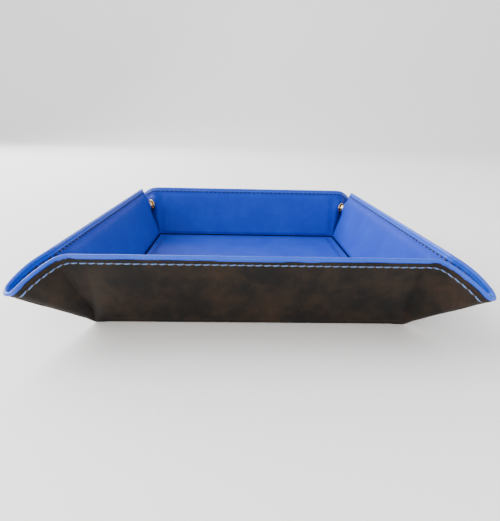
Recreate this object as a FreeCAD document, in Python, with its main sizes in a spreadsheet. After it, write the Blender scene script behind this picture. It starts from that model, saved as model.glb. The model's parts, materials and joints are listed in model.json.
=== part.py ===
"""Folding dice tray of lined leather.

One flat square of leather, black outside and blue inside, with stiff boards between its two
layers. Each corner is pinched along its diagonal and held by a snap, which stands the four walls
up around the playing surface. Undone, the walls and corners lie flat.

The leather turns about creases, so it is modelled as the stiff stretches between them: the base,
four walls, and at each wall's two ends half of the folded corner, here called an ear. All creases
of a corner meet in one point of the lining's surface.

Frame: the origin is under the middle of the base, on the surface that the tray stands on. +Z is
up, the front wall is at -Y and the right wall at +X. The tray is modelled snapped up.
"""
import FreeCAD
import Part
import Sketcher
import math
import os
import re

SIZES = [
    ("base_width", 160.0, "playing surface between the left and right creases"),
    ("base_depth", 160.0, "playing surface between the front and rear creases"),
    ("wall_slope", 43.5, "height of a wall, measured along its slope"),
    ("wall_lean", 19.5, "degrees that a wall leans out from upright"),
    ("edge_straight", 9.0, "how far the free edge runs straight past a wall's end"),
    ("wing_angle", 5.0, "degrees by which a wall widens past its end before the ear turns"),
    ("cover_skin", 0.8, "thickness of the outer leather"),
    ("lining_skin", 0.8, "thickness of the lining"),
    ("board_skin", 0.8, "thickness of a stiffening board"),
    ("edge_turn", 3.0, "lining turned over the free edge onto the outside"),
    ("edge_bulge", 0.6, "how far the turned edge stands out from the outer leather"),
    ("crease_gap", 0.4, "from the line of a base crease to the leather on each side"),
    ("fold_gap", 1.0, "from the line where an ear turns to the leather on each side"),
    ("diagonal_gap", 0.8, "from the diagonal of a corner to the ear on each side"),
    ("ear_start", 4.0, "from the point where the creases meet to the inner end of an ear"),
    ("base_board_inset", 7.0, "from the creases to the base board"),
    ("wall_board_foot", 2.5, "from the crease to a wall board"),
    ("wall_board_head", 7.0, "from the free edge to a wall board"),
    ("wall_board_end", 3.0, "from the end of the wall to the end of its board"),
    ("base_stitch_inset", 5.0, "from the creases to the stitching of the base"),
    ("outer_stitch_drop", 4.8, "from the free edge to the stitching outside"),
    ("inner_stitch_drop", 3.5, "from the free edge to the stitching inside"),
    ("thread_wide", 0.9, "width of a line of stitching"),
    ("thread_proud", 0.3, "how far the stitching stands out of the leather"),
    ("thread_clear", 2.0, "from the diagonal of a corner to the inside stitching"),
    ("snap_along", 25.8, "place of the snap, measured along the diagonal"),
    ("snap_out", 12.9, "place of the snap, measured away from the diagonal"),
    ("snap_half", 2.3, "half of the closed snap, between the two leather seats"),
    ("snap_round", 5.0, "radius of the snap's two halves"),
    ("seat_margin", 0.4, "pressed leather around a half, past its edge"),
    ("seat_depth", 8.0, "length of the seat's cylinder before it meets the lining"),
    ("stud_flange", 0.8, "thickness of the stud's flange"),
    ("stud_knob", 1.6, "radius of the stud's knob"),
    ("stud_tall", 3.0, "height of the stud over its seat"),
    ("stud_cap", 0.5, "thickness of the knob's top"),
    ("socket_tall", 2.8, "height of the socket over its seat"),
    ("socket_floor", 0.5, "thickness of the socket's floor"),
    ("socket_bore", 2.0, "radius of the socket's mouth"),
    ("rivet_shank", 1.0, "radius of a rivet's shank"),
    ("rivet_head", 3.4, "radius of a rivet's head"),
    ("rivet_sunk", 0.35, "from the seat down to the rivet's head"),
    ("rivet_thick", 0.4, "thickness of the rivet's head"),
    ("rivet_flare", 1.6, "radius of the rivet's flared end in the socket"),
]

STACK = "(cover_skin + lining_skin)"
BOARDED = "(cover_skin + board_skin + lining_skin)"
X_AXIS = FreeCAD.Vector(1, 0, 0)
Y_AXIS = FreeCAD.Vector(0, 1, 0)
Z_AXIS = FreeCAD.Vector(0, 0, 1)

# Each wall: name, turn about +Z, size along its crease, size across it, names of its two ends.
# The first end is the one towards the wall's own +X before the turn.
WALLS = [
    ("rear", 0.0, "base_width", "base_depth", ("right", "left")),
    ("left", 90.0, "base_depth", "base_width", ("rear", "front")),
    ("front", 180.0, "base_width", "base_depth", ("left", "right")),
    ("right", 270.0, "base_depth", "base_width", ("front", "rear")),
]

doc = FreeCAD.newDocument("FoldingDiceTray")
sheet = doc.addObject("Spreadsheet::Sheet", "Sizes")
for row, (alias, number, meaning) in enumerate(SIZES, start=1):
    sheet.set(f"A{row}", meaning)
    sheet.set(f"B{row}", str(number))
    sheet.setAlias(f"B{row}", alias)
doc.recompute()

nodes = []


def size(alias):
    """The number that the sheet holds under an alias."""
    return float(sheet.get(alias))


def formula(text):
    """Expression text in which each alias points into the sheet."""
    return re.sub(r"\b[a-z]+(?:_[a-z]+)+\b", lambda word: "Sizes." + word.group(), text)


def worth(owner, text):
    """The value of a formula at the sheet's present numbers."""
    return float(owner.evalExpression(formula(text)))


# ---- sketches and features ------------------------------------------------------------------

def new_body(label, place=None):
    """An empty body; two lines of stitching in one body stay apart."""
    body = doc.addObject("PartDesign::Body", label)
    body.Label = label
    body.AllowCompound = True
    body.Placement = place or FreeCAD.Placement()
    return body


def origin_plane(body, role):
    """One of the body's own origin planes."""
    return next(item for item in body.Origin.OriginFeatures if item.Role == role)


def arc_between(start, end, radius):
    """Arc from start to end whose centre is on the left of the way there."""
    chord = end - start
    left = FreeCAD.Vector(-chord.y, chord.x, 0) / chord.Length
    centre = (start + end) / 2 + left * math.sqrt(radius ** 2 - (chord.Length / 2) ** 2)
    angles = [math.atan2(point.y - centre.y, point.x - centre.x) for point in (start, end)]
    return Part.ArcOfCircle(Part.Circle(centre, Z_AXIS, radius), *angles)


def pin_down(sketch, kind, entity, text):
    """Give one coordinate or radius of an entity its formula."""
    if text == "0":
        axis = -2 if kind == "DistanceX" else -1
        sketch.addConstraint(Sketcher.Constraint("PointOnObject", *entity, axis))
        return
    origin = () if kind == "Radius" else (-1, 1)
    number = sketch.addConstraint(Sketcher.Constraint(kind, *origin, *entity, worth(sketch, text)))
    sketch.setExpression(f"Constraints[{number}]", formula(text))


def draw_loop(sketch, corners):
    """Closed outline through corners, each (x, y) or (x, y, radius), all given as formulas.

    A radius belongs to the side that leaves the corner. The outline runs anticlockwise. A side
    with a radius bulges out of it, or bites into it where the radius is written with a minus.
    """
    points = [FreeCAD.Vector(worth(sketch, x), worth(sketch, y), 0) for x, y, *_ in corners]
    leaving, arriving = {}, {}
    for here, (_, _, *bend) in enumerate(corners):
        there = (here + 1) % len(corners)
        ends = (1, 2)
        if not bend:
            edge = sketch.addGeometry(Part.LineSegment(points[here], points[there]))
        else:
            inward = bend[0].startswith("-")
            radius = bend[0].lstrip("-")
            first, last = (there, here) if inward else (here, there)
            ends = (2, 1) if inward else (1, 2)
            edge = sketch.addGeometry(arc_between(points[first], points[last], worth(sketch, radius)))
            pin_down(sketch, "Radius", (edge,), radius)
        leaving[here] = (edge, ends[0])
        arriving[there] = (edge, ends[1])
    for here, (x, y, *_) in enumerate(corners):
        sketch.addConstraint(Sketcher.Constraint("Coincident", *arriving[here], *leaving[here]))
        pin_down(sketch, "DistanceX", leaving[here], x)
        pin_down(sketch, "DistanceY", leaving[here], y)


def draw(body, name, loops, plane="XY_Plane", lift="0"):
    """A sketch of one or more outlines on one of the body's planes."""
    sketch = body.newObject("Sketcher::SketchObject", name)
    sketch.AttachmentSupport = [(origin_plane(body, plane), "")]
    sketch.MapMode = "FlatFace"
    if lift != "0":
        sketch.setExpression(".AttachmentOffset.Base.z", formula(lift))
    for corners in loops:
        draw_loop(sketch, corners)
    return sketch


def slab(body, name, loops, low, high, turned=False):
    """Pad an outline between two heights. A turned one counts its heights downward."""
    lift = f"-({high})" if turned else low
    pad = body.newObject("PartDesign::Pad", name)
    pad.Profile = draw(body, name + "_outline", loops, lift=lift)
    pad.setExpression("Length", formula(f"({high}) - ({low})"))
    return pad


def hollow(body, name, loops, low, high):
    """Cut an outline out of the body between two heights."""
    doc.recompute()
    before = body.Shape.Volume
    pocket = body.newObject("PartDesign::Pocket", name)
    pocket.Profile = draw(body, name + "_outline", loops, lift=low)
    pocket.setExpression("Length", formula(f"({high}) - ({low})"))
    pocket.Reversed = True
    doc.recompute()
    if body.Shape.Volume >= before:
        raise RuntimeError(f"{body.Label}: {name} removed nothing")


def turned_piece(label, corners, place):
    """A round piece: its half section, as (radius, height), turned about the body's Z axis."""
    body = new_body(label, place)
    turning = body.newObject("PartDesign::Revolution", "turning")
    turning.Profile = draw(body, "half_section", [corners], "XZ_Plane")
    turning.ReferenceAxis = (turning.Profile[0], ["V_Axis"])
    turning.Angle = 360
    nodes.append(body)
    return body


# ---- base -----------------------------------------------------------------------------------

def base_outline(inset):
    """The base's rectangle, set in from its creases."""
    x = f"(base_width / 2 - ({inset}))"
    y = f"(base_depth / 2 - ({inset}))"
    return [(f"-{x}", f"-{y}"), (x, f"-{y}"), (x, y), (f"-{x}", y)]


def make_base():
    """Outer leather, board, the lining formed over the board, and its line of stitching."""
    board_top = "cover_skin + board_skin"
    rim = base_outline("crease_gap")
    board = base_outline("base_board_inset")

    cover = new_body("base_cover")
    slab(cover, "skin", [rim], "0", "cover_skin")

    stiffener = new_body("base_board")
    slab(stiffener, "board", [board], "cover_skin", board_top)

    lining = new_body("base_lining")
    slab(lining, "skin", [rim], "cover_skin", STACK)
    slab(lining, "raised", [base_outline("base_board_inset - lining_skin")], "cover_skin", BOARDED)
    hollow(lining, "board_space", [board], "cover_skin", board_top)

    stitching = new_body("base_stitching")
    ring = [base_outline("base_stitch_inset - thread_wide / 2"),
            base_outline("base_stitch_inset + thread_wide / 2")]
    slab(stitching, "ring", ring, STACK, f"{STACK} + thread_proud")
    nodes.extend([cover, stiffener, lining, stitching])


# ---- walls ----------------------------------------------------------------------------------

def wall_band(along, low, high):
    """The stretch of a wall between two distances from its crease, wings included."""
    def edge(level):
        return f"({along} / 2 + ({level}) * tan(wing_angle) - fold_gap / cos(wing_angle))"
    return [(f"-{edge(low)}", low), (edge(low), low), (edge(high), high), (f"-{edge(high)}", high)]


def board_outline(along, margin):
    """A wall board's rectangle, grown by a margin on every side."""
    x = f"({along} / 2 - wall_board_end + {margin})"
    foot = f"wall_board_foot - {margin}"
    head = f"wall_slope - wall_board_head + {margin}"
    return [(f"-{x}", foot), (x, foot), (x, head), (f"-{x}", head)]


def stitch_bands(body, band, turned=False):
    """The line of stitching outside, and the one inside."""
    for name, drop, low, high in (
        ("outside", "outer_stitch_drop", "-thread_proud", "0"),
        ("inside", "inner_stitch_drop", STACK, f"{STACK} + thread_proud"),
    ):
        outline = band(f"({drop} - thread_wide / 2)", f"({drop} + thread_wide / 2)")
        slab(body, name, [outline], low, high, turned)


def make_wall(name, place, along):
    """One wall, in its flat frame: X along the crease, Y up the slope, Z towards the lining."""
    board_top = "cover_skin + board_skin"
    board = board_outline(along, "0")

    cover = new_body(f"{name}_wall_cover", place)
    slab(cover, "skin", [wall_band(along, "crease_gap", "(wall_slope - edge_turn)")],
         "0", "cover_skin")

    stiffener = new_body(f"{name}_wall_board", place)
    slab(stiffener, "board", [board], "cover_skin", board_top)

    lining = new_body(f"{name}_wall_lining", place)
    slab(lining, "skin", [wall_band(along, "crease_gap", "wall_slope")], "cover_skin", STACK)
    slab(lining, "raised", [board_outline(along, "lining_skin")], "cover_skin", BOARDED)
    slab(lining, "turned_edge", [wall_band(along, "(wall_slope - edge_turn)", "wall_slope")],
         "-edge_bulge", "cover_skin")
    hollow(lining, "board_space", [board], "cover_skin", board_top)

    stitching = new_body(f"{name}_wall_stitching", place)
    stitch_bands(stitching, lambda above, below:
                 wall_band(along, f"(wall_slope - {below})", f"(wall_slope - {above})"))
    nodes.extend([cover, stiffener, lining, stitching])


# ---- ears -----------------------------------------------------------------------------------

def ear_free_edge(drop, gap):
    """Corners along an ear's free edge, set back by drop, from the diagonal to the wall."""
    straight = "edge_straight"
    level = f"(wall_slope - {drop})"
    radius = f"(wall_slope - edge_straight - {drop})"
    reach = f"sqrt({radius} ^ 2 - {gap} ^ 2)"
    return [(f"{straight} + ({reach} - {gap}) / sqrt(2)", f"{straight} + ({reach} + {gap}) / sqrt(2)",
             radius),
            (straight, level),
            (f"{level} * tan(wing_angle) + fold_gap / cos(wing_angle)", level)]


def ear_field(drop):
    """The whole of an ear up to its free edge, less drop."""
    inner = [("ear_start * sin(wing_angle) + fold_gap * cos(wing_angle)",
              "ear_start * cos(wing_angle) - fold_gap * sin(wing_angle)"),
             ("(ear_start - diagonal_gap) / sqrt(2)", "(ear_start + diagonal_gap) / sqrt(2)")]
    return ear_free_edge(drop, "diagonal_gap") + inner


def ear_band(above, below, gap="diagonal_gap"):
    """The strip of an ear between two distances from its free edge."""
    upper = ear_free_edge(above, gap)
    diagonal, knee, wall_end = ear_free_edge(below, gap)
    bite = (*knee, f"-{diagonal[2]}")
    return upper + [wall_end, bite, diagonal[:2]]


def ear_fold_angle():
    """Degrees that an ear turns back from its wall so that its edge lies in the diagonal plane."""
    rise = math.radians(90 - size("wall_lean"))
    wing = math.radians(size("wing_angle"))
    rest = math.radians(45 - size("wing_angle"))
    up_slope = FreeCAD.Vector(0, math.cos(rise), math.sin(rise))
    inward = FreeCAD.Vector(0, -math.sin(rise), math.cos(rise))
    ruling = X_AXIS * math.sin(wing) + up_slope * math.cos(wing)
    across = X_AXIS * math.cos(wing) - up_slope * math.sin(wing)
    to_plane = FreeCAD.Vector(-1, 1, 0).normalize()
    steady = math.cos(rest) * ruling.dot(to_plane)
    cosine = math.sin(rest) * across.dot(to_plane)
    sine = -math.sin(rest) * inward.dot(to_plane)
    return math.degrees(math.atan2(sine, cosine) - math.acos(-steady / math.hypot(cosine, sine)))


def turn_about(point, axis, angle):
    """Placement that turns things by an angle about an axis through a point."""
    turn = FreeCAD.Rotation(axis, angle)
    return FreeCAD.Placement(point - turn.multVec(point), turn)


def ear_place(wall_place, along, hand):
    """Frame of the ear at one end of a wall; hand is 1 at the wall's +X end and -1 at the other."""
    wing = math.radians(size("wing_angle"))
    surface = size("cover_skin") + size("lining_skin")
    meeting = FreeCAD.Vector(hand * size(along) / 2, 0, surface)
    ruling = FreeCAD.Vector(hand * math.sin(wing), math.cos(wing), 0)
    folded = turn_about(meeting, ruling, hand * ear_fold_angle())
    shift = FreeCAD.Placement(FreeCAD.Vector(meeting.x, 0, 0), FreeCAD.Rotation())
    flip = FreeCAD.Placement(FreeCAD.Vector(), FreeCAD.Rotation(Y_AXIS, 0 if hand > 0 else 180))
    return wall_place * folded * shift * flip


def snap_place(place, corner, hand):
    """Frame of a snap half: on its leather seat, with Z towards the other half."""
    along, out = size("snap_along"), size("snap_out")
    surface = hand * (size("cover_skin") + size("lining_skin"))
    middle = place.multVec(FreeCAD.Vector((along - out) / math.sqrt(2), (along + out) / math.sqrt(2),
                                          surface))
    normal = FreeCAD.Vector(-corner.y / abs(corner.y), corner.x / abs(corner.x), 0).normalize()
    aside = (middle - corner).dot(normal)
    away = normal * math.copysign(1, aside)
    seat = middle - normal * aside + away * size("snap_half")
    return FreeCAD.Placement(seat, FreeCAD.Rotation(Z_AXIS, -away))


def seat_cylinder(name, radius, place):
    """Cylinder that starts in a snap half's seat and runs off along its own Z axis."""
    cylinder = doc.addObject("Part::Cylinder", name)
    cylinder.setExpression("Radius", formula(radius))
    cylinder.setExpression("Height", formula("seat_depth"))
    cylinder.Placement = place
    return cylinder


def seated_lining(label, skin, place, seat, rivet, turned):
    """Ear lining with the leather pressed square under its snap half and pierced for the rivet."""
    over = seat_cylinder(label + "_over_seat", "snap_round + seat_margin", seat)
    behind_seat = seat * FreeCAD.Placement(FreeCAD.Vector(), FreeCAD.Rotation(X_AXIS, 180))
    cylinder = seat_cylinder(label + "_seat", "snap_round + seat_margin", behind_seat)
    sunk = FreeCAD.Placement(FreeCAD.Vector(0, 0, size("rivet_sunk")), FreeCAD.Rotation())
    behind = seat_cylinder(label + "_behind_head", "rivet_head", behind_seat * sunk)

    above = doc.addObject("Part::Box", label + "_above_cover")
    for side in ("Length", "Width", "Height"):
        above.setExpression(side, formula("2 * wall_slope"))
    lift = -size("cover_skin") - 2 * size("wall_slope") if turned else size("cover_skin")
    above.Placement = place * FreeCAD.Placement(
        FreeCAD.Vector(-size("wall_slope") / 2, 0, lift), FreeCAD.Rotation())

    pressed = doc.addObject("Part::Common", label + "_pressed")
    pressed.Base, pressed.Tool = cylinder, above
    joined = doc.addObject("Part::Fuse", label + "_joined")
    joined.Base, joined.Tool = skin, pressed

    lining = joined
    for name, tool in (("_flattened", over), ("_pierced", rivet), ("", behind)):
        cut = doc.addObject("Part::Cut", label + name)
        cut.Base, cut.Tool = lining, tool
        lining = cut
    lining.Label = label
    return lining


def make_ear(label, place, turned, seat, rivet):
    """Half of a folded corner, with its free edge and its stitching."""
    cover = new_body(f"{label}_ear_cover", place)
    slab(cover, "skin", [ear_field("edge_turn")], "0", "cover_skin", turned)

    skin = new_body(f"{label}_ear_lining_skin", place)
    slab(skin, "skin", [ear_field("0")], "cover_skin", STACK, turned)
    slab(skin, "turned_edge", [ear_band("0", "edge_turn")], "-edge_bulge", "cover_skin", turned)
    lining = seated_lining(f"{label}_ear_lining", skin, place, seat, rivet, turned)

    stitching = new_body(f"{label}_ear_stitching", place)
    stitch_bands(stitching, lambda above, below: ear_band(above, below, "thread_clear"), turned)
    nodes.extend([cover, lining, stitching])


# ---- snaps ----------------------------------------------------------------------------------

def make_stud(label, place):
    """The stud, and the rivet that holds it to the lining from behind."""
    inside = "stud_tall - stud_cap"
    turned_piece(f"{label}_stud", [
        ("rivet_shank", "0"), ("snap_round", "0"), ("snap_round", "stud_flange"),
        ("stud_knob", "stud_flange"), ("stud_knob", "stud_tall"), ("0", "stud_tall"),
        ("0", inside), ("rivet_shank", inside)], place)
    return turned_piece(f"{label}_stud_rivet", [
        ("0", "-rivet_sunk - rivet_thick"), ("rivet_head", "-rivet_sunk - rivet_thick"),
        ("rivet_head", "-rivet_sunk"), ("rivet_shank", "-rivet_sunk"),
        ("rivet_shank", inside), ("0", inside)], place)


def make_socket(label, place):
    """The socket, and the rivet that is flared over its floor."""
    flared = "socket_floor + rivet_thick"
    turned_piece(f"{label}_socket", [
        ("rivet_shank", "0"), ("snap_round", "0"), ("snap_round", "socket_tall"),
        ("socket_bore", "socket_tall"), ("socket_bore", "socket_floor"),
        ("rivet_shank", "socket_floor")], place)
    return turned_piece(f"{label}_socket_rivet", [
        ("0", "-rivet_sunk - rivet_thick"), ("rivet_head", "-rivet_sunk - rivet_thick"),
        ("rivet_head", "-rivet_sunk"), ("rivet_shank", "-rivet_sunk"),
        ("rivet_shank", "socket_floor"), ("rivet_flare", "socket_floor"),
        ("rivet_flare", flared), ("0", flared)], place)


# ---- assembly -------------------------------------------------------------------------------

def make_side(name, turn, along, across, ends):
    """One wall with the two ears at its ends and the snap halves on them."""
    about = FreeCAD.Placement(FreeCAD.Vector(), FreeCAD.Rotation(Z_AXIS, turn))
    crease = FreeCAD.Vector(0, 0, size("cover_skin") + size("lining_skin"))
    out = FreeCAD.Placement(FreeCAD.Vector(0, size(across) / 2, 0), FreeCAD.Rotation())
    wall_place = about * out * turn_about(crease, X_AXIS, 90 - size("wall_lean"))
    make_wall(name, wall_place, along)
    for hand, end in zip((1, -1), ends):
        place = ear_place(wall_place, along, hand)
        corner = about.multVec(FreeCAD.Vector(hand * size(along) / 2, size(across) / 2, 0))
        seat = snap_place(place, corner, hand)
        if name in ("front", "rear"):
            rivet = make_stud(f"{name}_{end}_snap", seat)
        else:
            rivet = make_socket(f"{end}_{name}_snap", seat)
        make_ear(f"{name}_wall_{end}", place, hand < 0, seat, rivet)


make_base()
for wall in WALLS:
    make_side(*wall)
doc.recompute()

for item in doc.Objects:
    if "Invalid" in item.State or "Error" in item.State:
        raise RuntimeError(f"{item.Label} failed: {item.State}")
for node in nodes:
    if node.Shape.isNull() or not node.Shape.isValid() or not node.Shape.Solids:
        raise RuntimeError(f"{node.Label} has no valid solid")

os.makedirs("parts", exist_ok=True)
for node in nodes:
    node.Shape.exportStep(os.path.join("parts", node.Label + ".step"))
box = Part.Compound([node.Shape for node in nodes]).BoundBox
print(f"{len(nodes)} nodes, ear fold {ear_fold_angle():.4f} degrees, "
      f"{box.XLength:.2f} x {box.YLength:.2f} x {box.ZLength:.2f} mm, lowest {box.ZMin:.3f}")
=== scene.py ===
"""A folding dice tray of lined leather, worked out as one flat sheet that is folded up.

Every leather piece starts as a patch of the flat sheet. One set of formulas says where a point of
the flat sheet goes when the tray is snapped up, so neighbouring pieces meet exactly.
"""

import json
import math

import bpy
import numpy as np
from mathutils import Matrix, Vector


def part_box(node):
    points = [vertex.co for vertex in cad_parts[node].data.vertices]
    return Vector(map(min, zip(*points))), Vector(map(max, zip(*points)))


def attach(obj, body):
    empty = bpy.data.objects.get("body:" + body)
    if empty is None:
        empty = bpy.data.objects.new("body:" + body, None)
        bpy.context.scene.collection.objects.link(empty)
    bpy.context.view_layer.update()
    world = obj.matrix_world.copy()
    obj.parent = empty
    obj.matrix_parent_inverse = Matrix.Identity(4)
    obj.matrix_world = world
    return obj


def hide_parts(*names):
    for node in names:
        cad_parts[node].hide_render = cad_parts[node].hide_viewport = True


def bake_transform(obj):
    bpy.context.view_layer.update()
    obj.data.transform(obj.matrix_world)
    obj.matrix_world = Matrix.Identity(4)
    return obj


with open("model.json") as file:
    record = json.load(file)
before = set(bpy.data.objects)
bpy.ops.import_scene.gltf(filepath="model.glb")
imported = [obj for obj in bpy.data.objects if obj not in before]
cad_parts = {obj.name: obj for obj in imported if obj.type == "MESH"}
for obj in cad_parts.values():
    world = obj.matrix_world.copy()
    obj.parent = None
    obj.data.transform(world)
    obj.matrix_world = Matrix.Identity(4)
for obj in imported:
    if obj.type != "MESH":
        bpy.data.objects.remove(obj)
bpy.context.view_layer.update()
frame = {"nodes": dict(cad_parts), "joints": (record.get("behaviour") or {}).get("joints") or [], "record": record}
NODES = frame["nodes"]
JOINTS = {joint["name"]: joint for joint in frame["joints"]}
MM = 0.001


# %% [markdown]
# The camera comes first, because everything else is judged through it. It stands close to the
# tray, a little left of its middle, and looks down at the playing surface over the front wall.
# A short lens at close range gives the strong perspective: the front wall looks much wider than
# the rear one.

# %% Camera
def aim(turn, tilt, roll):
    """Camera axes for a view turned right from +Y, tilted down and rolled, all in degrees.

    The view direction is (sin turn cos tilt, cos turn cos tilt, -sin tilt). Right is level and
    square to it, up is their cross product, and the roll turns right and up in their plane.
    """
    turn, tilt, roll = np.radians([turn, tilt, roll])
    ahead = np.array([np.sin(turn) * np.cos(tilt), np.cos(turn) * np.cos(tilt), -np.sin(tilt)])
    level = np.array([np.cos(turn), -np.sin(turn), 0])
    up = np.cross(level, ahead)
    right = np.cos(roll) * level + np.sin(roll) * up
    up = np.cos(roll) * up - np.sin(roll) * level
    return right, up, ahead


LENS, SENSOR = 25.87, 36
CAMERA_PLACE = np.array([-7.4, -255.4, 98.3]) * MM


def stand(thing, right, up, ahead, place):
    """Put a camera or a light at a place, looking ahead."""
    matrix = np.eye(4)
    matrix[:3] = np.column_stack([right, up, -ahead, place])
    thing.matrix_world = Matrix(matrix.tolist())
    bpy.context.scene.collection.objects.link(thing)


def add_camera():
    """The camera, placed by how far it stands off the middle of the tray."""
    data = bpy.data.cameras.new("camera")
    data.sensor_width = SENSOR
    data.lens = LENS
    data.clip_start = 0.01
    camera = bpy.data.objects.new("camera", data)
    stand(camera, *aim(turn=1.885, tilt=19.91, roll=1.41), CAMERA_PLACE)
    bpy.context.scene.camera = camera
    print("camera", CAMERA_PLACE / MM, "mm, lens", LENS)


add_camera()


# %% [markdown]
# The sizes come from the frame. The hinges of the walls lie on the creases, in the surface of the
# lining. The line about which an ear turns starts at the same point and runs up the wall, so its
# direction tells how far the wall leans and how far it widens past its end.

# %% Sizes read from the frame
def joint_vector(name, key):
    """The place or the axis of a joint, as an array."""
    return np.array(JOINTS[name][key], float)


HALF_WIDTH = abs(joint_vector("right_wall_fold", "pos_m")[0])
HALF_DEPTH = abs(joint_vector("rear_wall_fold", "pos_m")[1])
SURFACE = joint_vector("rear_wall_fold", "pos_m")[2]
ruling = -joint_vector("rear_wall_right_ear_fold", "axis")
RISE = math.atan2(ruling[2], ruling[1])
WING = math.asin(ruling[0])
SLOPE = (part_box("rear_wall_lining")[1].z - SURFACE) / math.sin(RISE)
COVER_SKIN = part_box("base_cover")[1].z
LINING_SKIN = SURFACE - COVER_SKIN
BOARD_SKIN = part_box("base_lining")[1].z - SURFACE
BASE_BOARD_INSET = HALF_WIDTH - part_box("base_board")[1].x
WALL_BOARD_END = HALF_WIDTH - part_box("rear_wall_board")[1].x
print("crease to crease", HALF_WIDTH * 2, HALF_DEPTH * 2, "slope", round(SLOPE, 5),
      "rise", round(math.degrees(RISE), 2), "wing", round(math.degrees(WING), 2))

WALLS = [
    ("rear", 0, HALF_WIDTH, HALF_DEPTH, ("right", "left")),
    ("left", 90, HALF_DEPTH, HALF_WIDTH, ("rear", "front")),
    ("front", 180, HALF_WIDTH, HALF_DEPTH, ("left", "right")),
    ("right", 270, HALF_DEPTH, HALF_WIDTH, ("front", "rear")),
]


# %% [markdown]
# A corner is pinched leather. Leather bends but hardly stretches, so the corner is a cone: straight
# lines run from the point where the creases meet to the free edge. On a ball around that point
# these lines trace a curve whose length is the same as the angle in the flat sheet. The curve is a
# chain of four arcs: straight on from the wall, bent back round the snap, nearly straight, and the
# tight turn into the fold. The last two bends are solved so that both halves of the corner meet
# square in the plane of the diagonal.

# %% The corner as a cone
STRAIGHT_TO, BENT_TO, FOLD_FROM = np.radians([4.0, 16.0, 39.2])
BULGE = 0.3
DIAGONAL = math.radians(45)
AWAY = np.array([-1, 1, 0]) / math.sqrt(2)
OUT = np.array([1, 1, 0]) / math.sqrt(2)
UP = np.array([0, 0, 1.0])


def spin(bend, length):
    """Turn of the moving axes (ray, sideways, normal) after an arc of a given bend and length.

    Over a small step the ray moves sideways, and sideways moves back along the ray and, times the
    bend, towards the normal. Together that is a steady rotation about (bend, 0, 1), by the arc's
    length times the square root of 1 + bend squared.
    """
    rate = math.sqrt(1 + bend * bend)
    axis = np.array([bend, 0, 1]) / rate
    cross = np.array([[0, -axis[2], axis[1]], [axis[2], 0, -axis[0]], [-axis[1], axis[0], 0]])
    angle = (np.asarray(length, float) * rate)[..., None, None]
    return np.eye(3) + np.sin(angle) * cross + (1 - np.cos(angle)) * (cross @ cross)


WALL_AXES = np.array([[0, 1, 0],
                      [math.cos(RISE), 0, -math.sin(RISE)],
                      [math.sin(RISE), 0, math.cos(RISE)]])


def arcs(bend_back, bend_shut):
    """The four arcs of a corner as (start, bend) pairs."""
    return [(0, 0), (STRAIGHT_TO, bend_back), (BENT_TO, BULGE), (FOLD_FROM, bend_shut)]


def corner_axes(angle, chain):
    """Axes (ray, sideways, normal) of the cone at each angle from the end of the wall."""
    angle = np.asarray(angle, float)
    axes = np.zeros(angle.shape + (3, 3))
    start_axes = WALL_AXES
    stops = [start for start, _ in chain[1:]] + [DIAGONAL + 0.1]
    for (start, bend), stop in zip(chain, stops):
        here = (angle >= start) & (angle < stop)
        here |= (angle < 0) & (start == 0)
        axes[here] = start_axes @ spin(bend, angle[here] - start)
        start_axes = start_axes @ spin(bend, stop - start)
    return axes


def solve_bends(guess=(-5.0, 12.0)):
    """Bends for which the sideways axis at the diagonal is square to its plane.

    Newton's method on two numbers: the parts of that axis that lie in the plane.
    """
    def miss(bends):
        sideways = corner_axes(DIAGONAL, arcs(*bends))[:, 1]
        return np.array([sideways @ OUT, sideways @ UP])

    bends = np.array(guess)
    nudge = 1e-6
    for _ in range(50):
        slopes = np.array([(miss(bends + nudge * unit) - miss(bends)) / nudge for unit in np.eye(2)]).T
        step = np.linalg.solve(slopes, -miss(bends))
        bends = bends + step * min(1, 2 / np.abs(step).max())
    print("corner bends", np.round(bends, 3), "miss", miss(bends))
    return arcs(*bends)


CHAIN = solve_bends()
fold_ray = corner_axes(DIAGONAL, CHAIN)[:, 0]
print("the fold rises", round(math.degrees(math.asin(fold_ray[2])), 1), "degrees")


# %% [markdown]
# Next, the map from the flat sheet to the folded tray. A wall is flat. An ear is the cone. The
# leather has thickness, so each point also has a height over the lining's surface, and moves that
# far along the surface's normal. Where three creases meet, the outside has one corner point, and
# the heights near it lean over towards that point.

# %% From flat sheet to folded tray
CORNER_ROUND = 8 * MM
MITRE = math.tan(RISE / 2)
SNAP_ALONG, SNAP_OUT, SNAP_HALF = 25.8 * MM, 12.9 * MM, 2.3 * MM
SEAT_FLAT, SEAT_END = 4.8 * MM, 9.2 * MM
SNAP_SPOT = np.array([SNAP_ALONG - SNAP_OUT, SNAP_ALONG + SNAP_OUT]) / math.sqrt(2)


def smooth(value, low, high):
    """0 below low, 1 above high, and 3t^2 - 2t^3 between them."""
    t = np.clip((value - low) / (high - low), 0, 1)
    return t * t * (3 - 2 * t)


def lean_to_corner(normal, height, distance):
    """Step from the lining's surface to a layer, near and away from the meeting point.

    Away from it the step is height times the normal. At it the step is height times the corner
    direction (-m, -m, 1), where m is the mitre of two planes that meet at the rise of a wall.
    """
    corner = np.array([-MITRE, -MITRE, 1.0])
    away = smooth(distance, 0, CORNER_ROUND)[..., None]
    return height[..., None] * (away * normal + (1 - away) * corner)


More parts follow.
